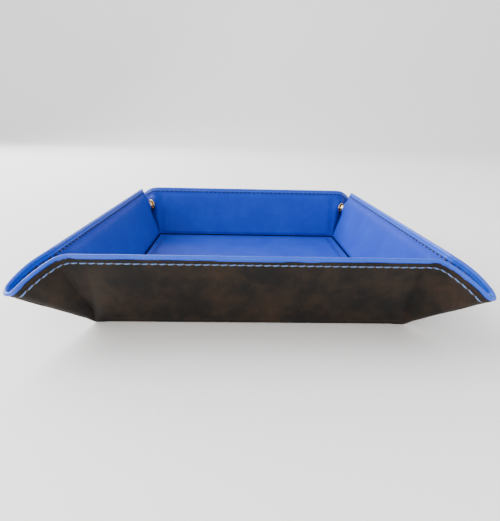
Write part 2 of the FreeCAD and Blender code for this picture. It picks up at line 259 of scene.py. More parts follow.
def fold_corner(x, y, height, seat=1.0):
    """Folded place of flat points past a wall's end, relative to the meeting point.

    x runs past the end and y up the wall. The point is its distance from the meeting point times
    the ray at its angle. Around the snap the lining is pressed onto the snap's seat, by the share
    seat of the whole way.
    """
    distance = np.hypot(x, y)
    axes = corner_axes(np.arctan2(x, np.maximum(y, 1e-9)), CHAIN)
    normal = axes[..., :, 2]
    place = distance[..., None] * axes[..., :, 0]
    from_snap = np.hypot(x - SNAP_SPOT[0], y - SNAP_SPOT[1])
    press = seat * (1 - smooth(from_snap, SEAT_FLAT, SEAT_END))
    gap = place @ AWAY - SNAP_HALF
    place = place - (press * gap)[..., None] * AWAY
    normal = normal * (1 - press[..., None]) - AWAY * press[..., None]
    normal = normal / np.linalg.norm(normal, axis=-1, keepdims=True)
    return place + lean_to_corner(normal, height, distance)


def fold_wall(x, y, height, tilt, half):
    """Folded place of flat points of a wall, relative to the middle of its crease.

    The wall's surface rises at RISE. The height goes along the normal for tilt, which is RISE on
    the wall and goes down to 0 round the outside of the crease.
    """
    normal = np.stack([0 * x, -np.sin(tilt), np.cos(tilt)], -1)
    place = np.stack([x, y * math.cos(RISE), y * math.sin(RISE)], -1)
    side = np.where(x < 0, -1.0, 1.0)
    distance = np.hypot(half - np.abs(x), y)
    step = lean_to_corner(normal, height, distance)
    step[..., 0] *= side
    return place + step


def into_row(points, turn, across):
    """From a wall's own frame, its crease's middle at the origin, to the frame of the tray."""
    points = points + np.array([0, across, SURFACE])
    c, s = math.cos(math.radians(turn)), math.sin(math.radians(turn))
    return points @ np.array([[c, s, 0], [-s, c, 0], [0, 0, 1]])


# %% [markdown]
# All pieces of leather are thin shells: an outer face, an inner face and a rim between them. One
# helper builds them from two grids of points of the same shape. Grid lines that shrink to one
# point, as at the meeting point of the creases, are merged.

# %% Mesh helpers
def grid_faces(rows, columns, first=0, flip=False):
    """Quads of a grid whose point (r, c) has the number first + r * columns + c."""
    r, c = np.meshgrid(np.arange(rows - 1), np.arange(columns - 1), indexing="ij")
    corner = (first + r * columns + c).ravel()
    quads = np.stack([corner, corner + 1, corner + columns + 1, corner + columns], -1)
    return quads[:, ::-1] if flip else quads


def tidy_faces(points, faces):
    """Merge equal points and drop the sides that this shrinks.

    Returns the points, the faces as lists, and the numbers of the faces that are left.
    """
    keys = np.round(points / 1e-7).astype(np.int64)
    _, first, number = np.unique(keys, axis=0, return_index=True, return_inverse=True)
    number = number.ravel()
    faces = number[faces]
    sides = faces != np.roll(faces, 1, axis=1)
    left = np.flatnonzero(sides.sum(axis=1) > 2)
    return points[first], [faces[face][sides[face]].tolist() for face in left], left


def add_mesh(name, points, faces, materials, sharp=50, choice=None):
    """A smooth-shaded mesh object with hard edges where faces turn by more than sharp degrees.

    choice gives the number of each face's material.
    """
    mesh = bpy.data.meshes.new(name)
    mesh.from_pydata(points.tolist(), [], faces)
    for material in materials:
        mesh.materials.append(material)
    if choice is not None:
        mesh.polygons.foreach_set("material_index", choice.astype(np.int32))
    mesh.validate()
    mesh.polygons.foreach_set("use_smooth", np.ones(len(mesh.polygons), bool))
    mesh.set_sharp_from_angle(angle=math.radians(sharp))
    piece = bpy.data.objects.new(name, mesh)
    bpy.context.scene.collection.objects.link(piece)
    return piece


def shell(name, outer, inner, materials, mirrored=False, shown=0):
    """Closed shell between two grids of points, each an array of rows, columns and x, y, z.

    The outer face looks the way in which rows cross columns. The numbers in shown, a grid of its
    faces, pick their materials. All others have the first.
    """
    rows, columns = outer.shape[:2]
    count = rows * columns
    points = np.concatenate([outer.reshape(-1, 3), inner.reshape(-1, 3)])
    number = np.arange(count).reshape(rows, columns)
    ring = np.concatenate([number[0, :-1], number[:-1, -1], number[-1, :0:-1], number[:0:-1, 0]])
    following = np.roll(ring, -1)
    rim = np.stack([ring, ring + count, following + count, following], -1)
    faces = np.concatenate([grid_faces(rows, columns),
                            grid_faces(rows, columns, count, flip=True), rim])
    if mirrored:
        faces = faces[:, ::-1]
    choice = np.zeros(len(faces))
    choice[:(rows - 1) * (columns - 1)] = np.broadcast_to(shown, (rows - 1, columns - 1)).ravel()
    points, lists, left = tidy_faces(points, faces)
    return add_mesh(name, points, lists, materials, choice=choice[left])


# %% [markdown]
# Shader maths is written as Python expressions. A small class wraps a socket, and adding or
# multiplying two of them adds the Math node that does it.

# %% Shader helpers
class Value:
    """A socket that can be used in an expression."""

    def __init__(self, finish, socket):
        self.finish, self.socket = finish, socket

    def maths(self, operation, *others):
        sockets = {number: other for number, other in enumerate(others)}
        return self.finish.node("ShaderNodeMath", {"operation": operation}, sockets)

    def __add__(self, other): return self.maths("ADD", self, other)
    def __rsub__(self, other): return self.maths("SUBTRACT", other, self)
    def __mul__(self, other): return self.maths("MULTIPLY", self, other)

    def between(self, low, high):
        """0 below low and 1 above high, with a straight ramp between them."""
        return self.finish.node("ShaderNodeMapRange", {"clamp": True},
                                {"Value": self, "From Min": low, "From Max": high})


class Finish:
    """A material under construction, with its Principled shader."""

    def __init__(self, name):
        self.material = bpy.data.materials.new(name)
        self.material.use_nodes = True
        self.tree = self.material.node_tree
        self.shader = self.tree.nodes["Principled BSDF"]

    def node(self, kind, settings=None, sockets=None, output=0):
        """Add a node, set it, feed its sockets with values or links, and return one output."""
        node = self.tree.nodes.new(kind)
        for key, setting in (settings or {}).items():
            setattr(node, key, setting)
        for key, value in (sockets or {}).items():
            self.feed(node.inputs[key], value)
        return Value(self, node.outputs[output])

    def feed(self, socket, value):
        """Link a wrapped socket, or set a plain number or colour."""
        if isinstance(value, Value):
            self.tree.links.new(value.socket, socket)
        else:
            socket.default_value = value

    def set(self, **inputs):
        """Feed the Principled shader; a name's underscores stand for spaces."""
        for key, value in inputs.items():
            self.feed(self.shader.inputs[key.replace("_", " ")], value)

    def place(self):
        """Object coordinates. Every piece sits at the origin, so patterns run on across seams."""
        return self.node("ShaderNodeTexCoord", output=3)

    def noise(self, size, detail=2.0, roughness=0.5, stretch=None):
        """Cloudy noise whose blobs are about size across, in metres."""
        where = self.place()
        if stretch:
            where = self.node("ShaderNodeMapping", sockets={"Vector": where, "Scale": stretch})
        return self.node("ShaderNodeTexNoise", sockets={
            "Vector": where, "Scale": 1 / size, "Detail": detail, "Roughness": roughness})

    def mix(self, share, first, second):
        """Blend of two colours."""
        return self.node("ShaderNodeMix", {"data_type": "RGBA"},
                         {0: share, 6: first, 7: second}, output=2)

    def bump(self, height, depth, strength=1.0, under=None):
        """Normal from a height that goes from 0 to 1 over depth, in metres."""
        sockets = {"Height": height, "Distance": depth, "Strength": strength}
        if under is not None:
            sockets["Normal"] = under
        return self.node("ShaderNodeBump", sockets=sockets)


def rgba(red, green, blue):
    """A colour given as screen values from 0 to 255, made linear."""
    screen = np.array([red, green, blue]) / 255
    linear = np.where(screen <= 0.04045, screen / 12.92, ((screen + 0.055) / 1.055) ** 2.4)
    return (*linear.tolist(), 1.0)


# %% [markdown]
# Both leathers have a small pebbled grain: cells about half a millimetre wide with soft furrows
# between them, under a satin coating. The cover is black with brown patches, partly rubbed wear
# and partly a painted warm reflection. The lining is royal blue, darker in the furrows. Its rolled
# edge is glossier and painted a brighter blue than the rest of the sheet, a painted highlight, and
# the creases are painted dark blue, a painted shade.

# %% Leather
def leather(name, colour, wear_and_sheen, furrow, rough, coat, polish, shine):
    """Grained leather: cells from Voronoi edges, larger unevenness from noise."""
    finish = Finish(name)
    ripple = finish.noise(0.9 * MM, 2.0)
    where = finish.node("ShaderNodeMix", {"data_type": "VECTOR"}, {
        0: 0.0006, 4: finish.place(),
        5: finish.node("ShaderNodeTexNoise", sockets={
            "Vector": finish.place(), "Scale": 1 / (0.9 * MM)}, output=1)}, output=1)
    edge = finish.node("ShaderNodeTexVoronoi", {"feature": "DISTANCE_TO_EDGE"},
                       {"Vector": where, "Scale": 1 / (0.62 * MM)})
    cell = edge.between(0.0, 0.28)
    clouds = finish.noise(22 * MM, 3.0)
    patches = finish.noise(6 * MM, 4.0, 0.6)
    # On the black cover these brown patches are partly rubbed wear and partly a painted warm reflection.
    wear_and_sheen_share = (clouds * 0.6 + patches * 0.4).between(0.42, 0.66)
    tone = finish.mix(wear_and_sheen_share, colour, wear_and_sheen)
    tone = finish.mix((1 - cell) * 0.35, tone, furrow)
    folds = finish.noise(9 * MM, 3.0)
    under = finish.bump(folds, 0.35 * MM, 0.35)
    grain = finish.bump(cell * 0.7 + ripple * 0.5, 0.055 * MM, 0.75, under)
    finish.set(Base_Color=tone, Roughness=(1 - cell) * 0.1 + patches * 0.12 + rough,
               Normal=grain, Coat_Weight=coat, Coat_Roughness=polish, Specular_IOR_Level=shine)
    return finish.material


# Cover: the brown of its patches is partly a painted warm reflection.
BLACK = leather("cover_leather", rgba(15, 12, 10), rgba(48, 35, 24), rgba(4, 3, 3), 0.44, 0.0, 0.3, 0.2)
BLUE = leather("lining_leather", rgba(28, 59, 178), rgba(36, 70, 187), rgba(5, 29, 119), 0.50, 0.0, 0.3, 0.14)
# Rolled edge: a brighter blue than the lining, a painted highlight, under a glossier coat.
EDGE_PAINTED_HIGHLIGHT = leather("edge_leather", rgba(20, 78, 204), rgba(30, 92, 214), rgba(4, 36, 140), 0.36, 0.35, 0.22, 0.3)
# Creases: a dark blue finish that is painted shade.
CREASE_PAINTED_SHADE = leather("crease_leather", rgba(3, 9, 52), rgba(5, 13, 66), rgba(1, 3, 26), 0.7, 0.0, 0.3, 0.05)


# %% [markdown]
# The thread is twisted polyester. Outside it is a light steel blue that stands out on the black.
# Inside it is dark navy, partly painted shade of the stitch holes, so that the line reads as a row
# of small marks in the lining. The snaps are brass, polished but handled. The boards are grey pressed board.

# %% Thread, brass and board
def thread(name, colour, shade):
    """Twisted thread: fine slanting strands along the stitch."""
    finish = Finish(name)
    strands = finish.noise(0.35 * MM, 3.0, 0.6)
    finish.set(Base_Color=finish.mix(strands.between(0.35, 0.65), shade, colour), Roughness=0.62,
               Normal=finish.bump(strands, 0.08 * MM, 0.6), Sheen_Weight=0.06)
    return finish.material


def brass(name):
    """Polished brass with handling marks: rougher, browner patches and fine scratches."""
    finish = Finish(name)
    marks = finish.noise(2.2 * MM, 4.0, 0.65)
    scratches = finish.noise(0.5 * MM, 3.0, 0.7, stretch=(1, 1, 6))
    finish.set(Base_Color=finish.mix(marks.between(0.4, 0.75), rgba(250, 224, 160), rgba(206, 164, 98)),
               Metallic=1.0, Roughness=marks * 0.2 + 0.12,
               Normal=finish.bump(scratches, 0.02 * MM, 0.4))
    return finish.material


def pressed_board(name):
    """Grey board with flecks of fibre."""
    finish = Finish(name)
    fibre = finish.noise(0.8 * MM, 4.0, 0.7, stretch=(1, 3, 1))
    finish.set(Base_Color=finish.mix(fibre, rgba(132, 122, 104), rgba(160, 150, 130)), Roughness=0.9,
               Normal=finish.bump(fibre, 0.05 * MM, 0.5))
    return finish.material


PALE_THREAD = thread("outside_thread", rgba(108, 140, 194), rgba(56, 82, 138))
# Inside thread: its dark navy is partly painted shade of the stitch holes.
DARK_THREAD_AND_HOLE_SHADE = thread("inside_thread", rgba(5, 14, 66), rgba(2, 6, 34))
# Short brown marks over the holes between the outside stitches.
BROWN_HOLE_MARKS = thread("hole_thread", rgba(112, 92, 62), rgba(52, 40, 26))
BASE_THREAD = thread("base_thread", rgba(12, 36, 128), rgba(4, 14, 66))
BRASS = brass("snap_brass")
BOARD = pressed_board("grey_board")
SLOT_FINISH = {"board": BOARD, "snap": BRASS, "thread": PALE_THREAD, "cover": BLACK, "lining": BLUE}
for part in frame["record"]["subparts"]:
    NODES[part["node"]].data.materials.clear()
    NODES[part["node"]].data.materials.append(SLOT_FINISH[part["material_slot"]])
print("finishes", sorted(material.name for material in bpy.data.materials))


# %% [markdown]
# The cut through the edge is the same all round the tray, so it is described once, as rows. A row
# has a distance from the free edge and a height over the lining's surface. The rows near the edge
# keep their distance from it. Further in they draw together towards the crease, or in a corner
# towards the meeting point. The lining climbs over the edge as a soft roll and ends outside, on
# top of the black cover.

# %% Rows of the cut
EDGE_ZONE = 8 * MM
ROLL_MIDDLE, ROLL_HALF, ROLL_THICK = 1.4 * MM, 1.2 * MM, 0.95 * MM
ROLL_HEIGHT = -LINING_SKIN
OUTSIDE = -SURFACE
TUCK = 2.75 * MM
ROLL_CORE = 0.45
OUTER_STITCH, INNER_STITCH = 4.8 * MM, 3.8 * MM
STITCH_PITCH = 4.0 * MM
VALLEY = 0.45 * MM
# Rows of the rolled edge that take the painted highlight finish.
PAINTED_HIGHLIGHT_ROWS = 36
# Rows next to the crease that take the painted shade finish.
PAINTED_SHADE_ROWS = 4


def valley(distance, stitch, depth):
    """Furrow that a line of stitching pulls into the leather: a bell curve across the line."""
    return -depth * np.exp(-((distance - stitch) / VALLEY) ** 2)


def lining_rows():
    """Rows of the lining's shown face and of its back, as (distance, share, height) arrays."""
    share = np.concatenate([np.linspace(1, 0.9, 17), np.linspace(0.9, 0, 16)[1:]])
    inner = np.linspace(EDGE_ZONE, 2.6 * MM, 24)[1:]
    turn = np.linspace(math.radians(48), math.radians(328), 30)
    roll_distance = ROLL_MIDDLE + ROLL_HALF * np.cos(turn)
    roll_height = ROLL_HEIGHT + ROLL_THICK * np.sin(turn)
    distance = np.concatenate([np.full(len(share), EDGE_ZONE), inner, roll_distance, [TUCK]])
    share = np.concatenate([share, np.zeros(len(inner) + len(turn) + 1)])
    height = np.concatenate([np.zeros(len(distance) - len(turn) - 1), roll_height,
                             [OUTSIDE + 0.06 * MM]])
    back_distance = np.concatenate([distance[:-len(turn) - 1],
                                    ROLL_MIDDLE + ROLL_CORE * (roll_distance - ROLL_MIDDLE),
                                    [TUCK - 0.3 * MM]])
    back_height = np.concatenate([np.full(len(distance) - len(turn) - 1, -LINING_SKIN),
                                  ROLL_HEIGHT + ROLL_CORE * (roll_height - ROLL_HEIGHT),
                                  [OUTSIDE + 0.35 * MM]])
    return (distance, share, height), (back_distance, share, back_height)


def cover_rows():
    """Rows of the cover's shown face and of its back."""
    share = np.concatenate([np.linspace(1, 0.9, 9), np.linspace(0.9, 0, 16)[1:]])
    inner = np.concatenate([np.linspace(EDGE_ZONE, 2.7 * MM, 26)[1:], [2.55 * MM, 2.45 * MM]])
    distance = np.concatenate([np.full(len(share), EDGE_ZONE), inner])
    share = np.concatenate([share, np.zeros(len(inner))])
    height = np.full(len(distance), OUTSIDE)
    height[-3:] = OUTSIDE + np.array([0.04, 0.2, 0.5]) * MM
    back = np.full(len(distance), -LINING_SKIN - 0.02 * MM)
    return (distance, share, height), (distance, share, back)


print("rows of the lining", len(lining_rows()[0][0]), "and of the cover", len(cover_rows()[0][0]))


# %% [markdown]
# The boards lift the lining into a low pad with soft shoulders, and press faintly through the
# cover. The stitching pulls a furrow on both faces, deepest at the holes, and the creases are
# narrow grooves, dark with painted shade. The leather is never quite even, so slow waves of
# about a tenth of a millimetre run through it. Relief on the shown faces stops where the edge
# starts to turn.

# %% Relief
WALL_BOARD_HEAD = 7.0 * MM
FOOT_LOW, FOOT_HIGH = 1.0 * MM, 3.2 * MM
SHOULDER = 4.6 * MM
COVER_PRESS = 0.3 * MM
BASE_FURROW, LINING_FURROW, COVER_FURROW = 0.3 * MM, 0.4 * MM, 0.25 * MM
CREASE_DEPTH, CREASE_WIDTH = 0.6 * MM, 0.6 * MM
END_DEPTH, END_WIDTH = 0.42 * MM, 1.7 * MM
LINING_TURN = 2.4 * MM, 3.0 * MM
COVER_TURN = 2.9 * MM, 3.4 * MM


def wall_board(x, y, half):
    """1 over a wall's board and 0 away from it, with a tighter shoulder at the foot."""
    side = smooth(half - WALL_BOARD_END + SHOULDER / 2 - np.abs(x), 0, SHOULDER)
    foot = smooth(y, FOOT_LOW, FOOT_HIGH)
    head = smooth(SLOPE - WALL_BOARD_HEAD + SHOULDER / 2 - y, 0, SHOULDER)
    return side * foot * head


def unevenness(a, b, seed):
    """Slow waves: a sum of sines of both sheet coordinates, with phases set by seed."""
    phase = np.array([0.7, 2.1, 4.4, 5.3]) * (1 + seed)
    return (np.sin(a * 61 + phase[0]) * np.cos(b * 83 + phase[1])
            + 0.6 * np.sin(a * 163 + b * 97 + phase[2])
            + 0.35 * np.sin(a * 331 - b * 211 + phase[3]))


def holes(run):
    """1 at the holes of a line of stitching and 0 half way between them."""
    return 0.5 + 0.5 * np.cos(2 * math.pi * run / STITCH_PITCH)


def crease_groove(y):
    """The lining is drawn down into a narrow groove along a crease."""
    return -CREASE_DEPTH * np.exp(-(y / CREASE_WIDTH) ** 2)


def lining_looks(rows, shade_rows):
    """Material of each row of the lining: painted shade in the crease, and a gloss with a painted highlight on the
    rolled edge.
    """
    looks = np.zeros((rows - 1, 1))
    looks[:shade_rows] = 2
    looks[rows - PAINTED_HIGHLIGHT_ROWS:] = 1
    return looks


def end_groove(past_end, y, distance):
    """Soft groove in the cover along the end of a wall, between the board and the ear."""
    across = np.exp(-((past_end - 0.4 * MM) / END_WIDTH) ** 2)
    return END_DEPTH * across * smooth(y, 1 * MM, 9 * MM) * smooth(distance, 5.2 * MM, 7.5 * MM)


# %% [markdown]
# The base is a flat square of cover and lining with its board between them. Its edges are the
# creases, where the walls begin. Inside, a shallow furrow carries a line of stitching around the
# board.

# %% Base
def rectangle_grid(step):
    """Points of the base from crease to crease, closer together near the creases."""
    def line(half):
        near = np.concatenate([np.linspace(0, 8 * MM, 33), np.arange(8 * MM, half, step)[1:]])
        near = near[near < half - step / 2]
        return np.concatenate([near - half, [0], (half - near)[::-1]])
    return np.meshgrid(line(HALF_WIDTH), line(HALF_DEPTH), indexing="xy")


BASE_STITCH_INSET = 5.0 * MM
# Faces of the base this close to a crease are painted dark, a painted shade.
BASE_PAINTED_SHADE_INSET = 0.4 * MM


def base_layer(x, y, height):
    """Points of the base at a height over the lining's surface."""
    distance = np.hypot(HALF_WIDTH - np.abs(x), HALF_DEPTH - np.abs(y))
    step = lean_to_corner(np.array([0, 0, 1.0]), height, distance)
    step[..., 0] *= np.where(x < 0, -1.0, 1.0)
    step[..., 1] *= np.where(y < 0, -1.0, 1.0)
    return np.stack([x, y, np.full_like(x, SURFACE)], -1) + step


def make_base():
    """Cover and lining of the base."""
    x, y = rectangle_grid(2.0 * MM)
    inset = np.minimum(HALF_WIDTH - np.abs(x), HALF_DEPTH - np.abs(y))
    flat = np.zeros_like(x)
    pad = smooth(inset, BASE_BOARD_INSET - 1.3 * MM, BASE_BOARD_INSET + 2.0 * MM)
    top = BOARD_SKIN * pad + valley(inset, BASE_STITCH_INSET, BASE_FURROW) + crease_groove(inset) \
        + 0.05 * MM * unevenness(x, y, 1) * smooth(inset, 2 * MM, 9 * MM)
    lining = shell("base_lining_leather", base_layer(x, y, top),
                   base_layer(x, y, flat - LINING_SKIN + pad * BOARD_SKIN), [BLUE, CREASE_PAINTED_SHADE],
                   shown=inset[:-1, :-1] + inset[1:, 1:] < 2 * BASE_PAINTED_SHADE_INSET)
    cover = shell("base_cover_leather", base_layer(x, y, flat + OUTSIDE),
                  base_layer(x, y, flat - LINING_SKIN - 0.02 * MM), [BLACK], mirrored=True)
    for piece, node, slot in ((lining, "base_lining", "lining"), (cover, "base_cover", "cover")):
        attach(piece, "base")
        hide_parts(node)
    print("base", len(lining.data.polygons), "and", len(cover.data.polygons), "faces")


make_base()


# %% [markdown]
# A wall is the stretch between its crease and the free edge. Its grid has the rows of the cut and
# columns along the crease. At the crease the lining keeps one sharp line, and the cover goes round
# it on an arc, so the last rows turn the direction of the height from the wall's to the base's.
# The leather bends there when the wall folds down.

# %% Walls
CREASE_TURNS = 8
END_CALM = 4 * MM


def wall_columns(half):
    """Places along a wall, closer together near its ends."""
    near = np.linspace(0, 6 * MM, 17)
    middle = np.linspace(near[-1], half, 62)[1:]
    line = np.concatenate([near, middle]) - half
    return np.concatenate([line, -line[-2::-1]])


def wall_points(rows, half, relief):
    """Grid of one face of a wall: rows that turn round the crease, then the rows of the cut."""
    distance, share, height = (np.append(row[:1].repeat(CREASE_TURNS), row)[:, None] for row in rows)
    tilt = np.full_like(distance, RISE)
    tilt[:CREASE_TURNS, 0] = np.linspace(0, RISE, CREASE_TURNS, endpoint=False)
    x, y = np.broadcast_arrays(wall_columns(half)[None, :], (SLOPE - distance) * (1 - share))
    return fold_wall(x, y, height + relief(x, y, distance), tilt + 0 * x, half)


def lining_relief(x, y, half, distance, seed):
    """Pad over the board, furrow of the stitching and unevenness, on the lining's shown face."""
    face = smooth(distance, *LINING_TURN)
    furrow = valley(distance, INNER_STITCH, LINING_FURROW) * (0.5 + 0.5 * holes(half - x))
    waves = 0.06 * MM * unevenness(x, y, seed) * smooth(y, 0, 8 * MM) \
        * smooth(half - np.abs(x), 0, END_CALM)
    return face * (BOARD_SKIN * wall_board(x, y, half) + furrow + crease_groove(y)) + waves


def cover_relief(x, y, half, distance, seed):
    """The same for the cover: the board presses through it, and the stitching pulls it in."""
    face = smooth(distance, *COVER_TURN)
    furrow = valley(distance, OUTER_STITCH, -COVER_FURROW) * (0.55 + 0.45 * holes(half - x))
    press = end_groove(np.abs(x) - half, y, distance) - COVER_PRESS * wall_board(x, y, half)
    waves = 0.07 * MM * unevenness(x, y, seed + 3) * smooth(y, 1 * MM, 10 * MM) \
        * smooth(half - np.abs(x), 0, END_CALM)
    return face * (press + furrow) + waves


def between_base_and_wall(piece, turn, across):
    """Bake a piece's place into its mesh. The ends of its turn across a crease, a little over the leather's
    thickness apart, are worked out but not used.
    """
    reach = 1.25 * MM
    rise = np.array([0, math.cos(RISE / 2), math.sin(RISE / 2)]) * reach
    start, end = into_row(np.array([-rise, rise]), turn, across)
    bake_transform(piece)


def make_wall(seed, name, turn, half, across):
    """Lining and cover of one wall."""
    wall = f"{name}_wall"
    for kind, rows, relief, materials, mirrored in (
        ("lining", lining_rows(), lining_relief, [BLUE, EDGE_PAINTED_HIGHLIGHT, CREASE_PAINTED_SHADE], False),
        ("cover", cover_rows(), cover_relief, [BLACK], True),
    ):
        def shown(x, y, distance):
            return relief(x, y, half, distance, seed)

        def hidden(x, y, distance):
            pad = BOARD_SKIN * wall_board(x, y, half) if kind == "lining" else 0
            return pad * smooth(distance, *LINING_TURN)

        outer = into_row(wall_points(rows[0], half, shown), turn, across)
        inner = into_row(wall_points(rows[1], half, hidden), turn, across)
        # The rows of the rolled edge take the painted highlight, and the rows at the crease the painted shade.
        looks = lining_looks(len(outer), CREASE_TURNS + PAINTED_SHADE_ROWS) if kind == "lining" else 0
        piece = shell(f"{wall}_{kind}_leather", outer, inner, materials, mirrored, looks)
        between_base_and_wall(piece, turn, across)
        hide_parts(f"{wall}_{kind}")
        print(piece.name, len(piece.data.polygons), "faces")


for seed, (name, turn, half, across, _) in enumerate(WALLS):
    make_wall(seed, name, turn, half, across)


# %% [markdown]
# An ear is half of a pinched corner. In the flat sheet its free edge runs straight on from the
# wall and then round an arc to the diagonal. The rows of the cut follow that edge and draw
# together at the meeting point. The right-hand ear is worked out and the left-hand one mirrored.
# The ear turns against its wall along the rolled bend.

# %% Ears
EDGE_STRAIGHT, TIP = 1.5 * MM, 47.4 * MM
DROP, RUN = SLOPE - TIP / math.sqrt(2), TIP / math.sqrt(2) - EDGE_STRAIGHT
EDGE_TURN = 2 * math.atan2(DROP, RUN)
EDGE_ROUND = RUN / math.sin(EDGE_TURN)
EDGE_LENGTH = EDGE_STRAIGHT + EDGE_ROUND * EDGE_TURN


def edge_path(run):
    """Point and inward direction of the flat free edge at a distance along it from the wall.

    First straight on, then an arc that leaves the straight smoothly and reaches the diagonal at
    the tip's distance. The chord of the arc makes half the arc's turn with the straight.
    """
    run = np.asarray(run, float)
    turn = np.clip(run - EDGE_STRAIGHT, 0, None) / EDGE_ROUND
    point = np.stack([np.minimum(run, EDGE_STRAIGHT) + EDGE_ROUND * np.sin(turn),
                      SLOPE - EDGE_ROUND * (1 - np.cos(turn))], -1)
    return point, np.stack([-np.sin(turn), -np.cos(turn)], -1)


EAR_NARROWER = 0.65 * MM


def ear_cut(distance, outside, run):
    """Distances from the edge with the turned lining drawn in, outside and away from the wall."""
    drawn = smooth(distance, 0.2 * MM, 2.2 * MM) * (1 - smooth(distance, 2.75 * MM, 5 * MM))
    return distance - EAR_NARROWER * drawn * outside * smooth(run, 0, 5 * MM)


def ear_columns():
    """Places along an ear's free edge, closer together where it turns into the fold."""
    return np.concatenate([np.linspace(0, 0.82, 56), np.linspace(0.82, 1, 34)[1:]]) * EDGE_LENGTH


def ear_points(rows, hand, relief, seat):
    """Grid of one face of an ear, relative to the meeting point."""
    distance, share, height = (row[:, None] for row in rows)
    run = ear_columns()[None, :]
    outside = smooth(-height, LINING_SKIN, LINING_SKIN + 0.4 * MM)
    distance = ear_cut(distance, outside, run)
    edge, inward = edge_path(ear_columns())
    flat = (edge[None] + distance[..., None] * inward[None]) * (1 - share[..., None])
    x, y = flat[..., 0], flat[..., 1]
    points = fold_corner(x, y, height + relief(x, y, distance, run), seat)
    return points * np.array([hand, 1, 1])


def calm(x, y, run):
    """0 where an ear has to stay even: at its wall, at the meeting point and on the snap's seat."""
    from_snap = np.hypot(x - SNAP_SPOT[0], y - SNAP_SPOT[1])
    return smooth(run, 0, END_CALM) * smooth(np.hypot(x, y), 0, 12 * MM) \
        * smooth(from_snap, 5 * MM, 9 * MM)


def ear_lining_relief(x, y, distance, run, seed):
    """Furrow of the stitching, puckers of the rolled edge at the bend, and unevenness."""
    face = smooth(distance, *LINING_TURN)
    furrow = valley(distance, INNER_STITCH, LINING_FURROW) * (0.5 + 0.5 * holes(run))
    bend = smooth(run, 2 * MM, 6 * MM) * (1 - smooth(run, 12 * MM, 17 * MM))
    puckers = 0.05 * MM * bend * np.sin(run / (0.55 * MM) + distance / (1.1 * MM)) * (1 - face)
    return face * (furrow + crease_groove(np.hypot(x, y))) + puckers \
        + 0.1 * MM * calm(x, y, run) * unevenness(x * 1.6, y * 1.6, seed)


def ear_cover_relief(x, y, distance, run, seed):
    """Furrow of the stitching, the fine creases that the bend squeezes up, and unevenness."""
    face = smooth(distance, *COVER_TURN)
    furrow = valley(distance, OUTER_STITCH, -COVER_FURROW) * (0.55 + 0.45 * holes(run))
    angle = np.arctan2(x, np.maximum(y, 1e-9))
    reach = smooth(np.hypot(x, y), 3 * MM, 20 * MM)
    bend = smooth(angle, 0.09, 0.16) * (1 - smooth(angle, 0.26, 0.36))
    creases = 0.04 * MM * bend * reach * np.sin(angle * 60 + 3 * unevenness(x, y, seed))
    return face * (furrow + creases + end_groove(x, y, distance)) \
        + 0.13 * MM * calm(x, y, run) * unevenness(x * 1.6, y * 1.6, seed + 2)


def ear_place(points, hand, turn, half, across):
    """From a corner's own axes, mirrored for the left hand, to the frame of the tray."""
    return into_row(points + np.array([hand * half, 0, 0]), turn, across)


def between_wall_and_ear(piece, hand, turn, half, across):
    """Bake a piece's place into its mesh. The ends of a blend across the bend, from just before the line that the
    ear turns about, are worked out but not used.
    """
    slope_up = np.array([0, math.cos(RISE), math.sin(RISE)])
    across_line = np.array([math.cos(WING), 0, 0]) - slope_up * math.sin(WING)
    ends = np.array([-2.0 * MM * across_line, 6.0 * MM * across_line]) * np.array([hand, 1, 1])
    start, end = ear_place(ends, hand, turn, half, across)
    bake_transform(piece)


def make_ear(seed, name, end, hand, turn, half, across):
    """Lining and cover of one ear."""
    wall, ear = f"{name}_wall", f"{name}_wall_{end}_ear"
    for kind, rows, relief, materials, mirrored, seat in (
        ("lining", lining_rows(), ear_lining_relief, [BLUE, EDGE_PAINTED_HIGHLIGHT], False, 1.0),
        ("cover", cover_rows(), ear_cover_relief, [BLACK], True, 0.15),
    ):
        def shown(x, y, distance, run):
            return relief(x, y, distance, run, seed)

        def hidden(x, y, distance, run):
            return np.zeros_like(x)

        outer = ear_place(ear_points(rows[0], hand, shown, seat), hand, turn, half, across)
        inner = ear_place(ear_points(rows[1], hand, hidden, 0.15), hand, turn, half, across)
        # The rows of the rolled edge take the painted highlight finish.
        looks = lining_looks(len(outer), 0) if kind == "lining" else 0
        piece = shell(f"{ear}_{kind}_leather", outer, inner, materials, mirrored != (hand < 0), looks)
        between_wall_and_ear(piece, hand, turn, half, across)
        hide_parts(f"{ear}_{kind}")


for seed, (name, turn, half, across, ends) in enumerate(WALLS):
    for hand, end in zip((1, -1), ends):
        make_ear(2 * seed + (hand < 0), name, end, hand, turn, half, across)
print("ears", 2 * len(WALLS))


# %% [markdown]
# Each stitch is a short length of thread that comes out of one hole and goes back into the next.
# One stitch is a small tube whose middle line dips at both ends. All stitches of a line are the
# same grid of numbers, shifted along the line, and then the map of the sheet folds them.

# %% Stitches
STITCH_SIDES, STITCH_RINGS = 8, 9
STITCH_DIP, STITCH_SLANT, STITCH_PROUD = 0.34 * MM, 0.16 * MM, 0.06 * MM
BASE_STITCH_LENGTH, BASE_STITCH_RADIUS, BASE_STITCH_DIP = 2.7 * MM, 0.36 * MM, 0.42 * MM
BASE_STITCH_SUNK = 0.12 * MM


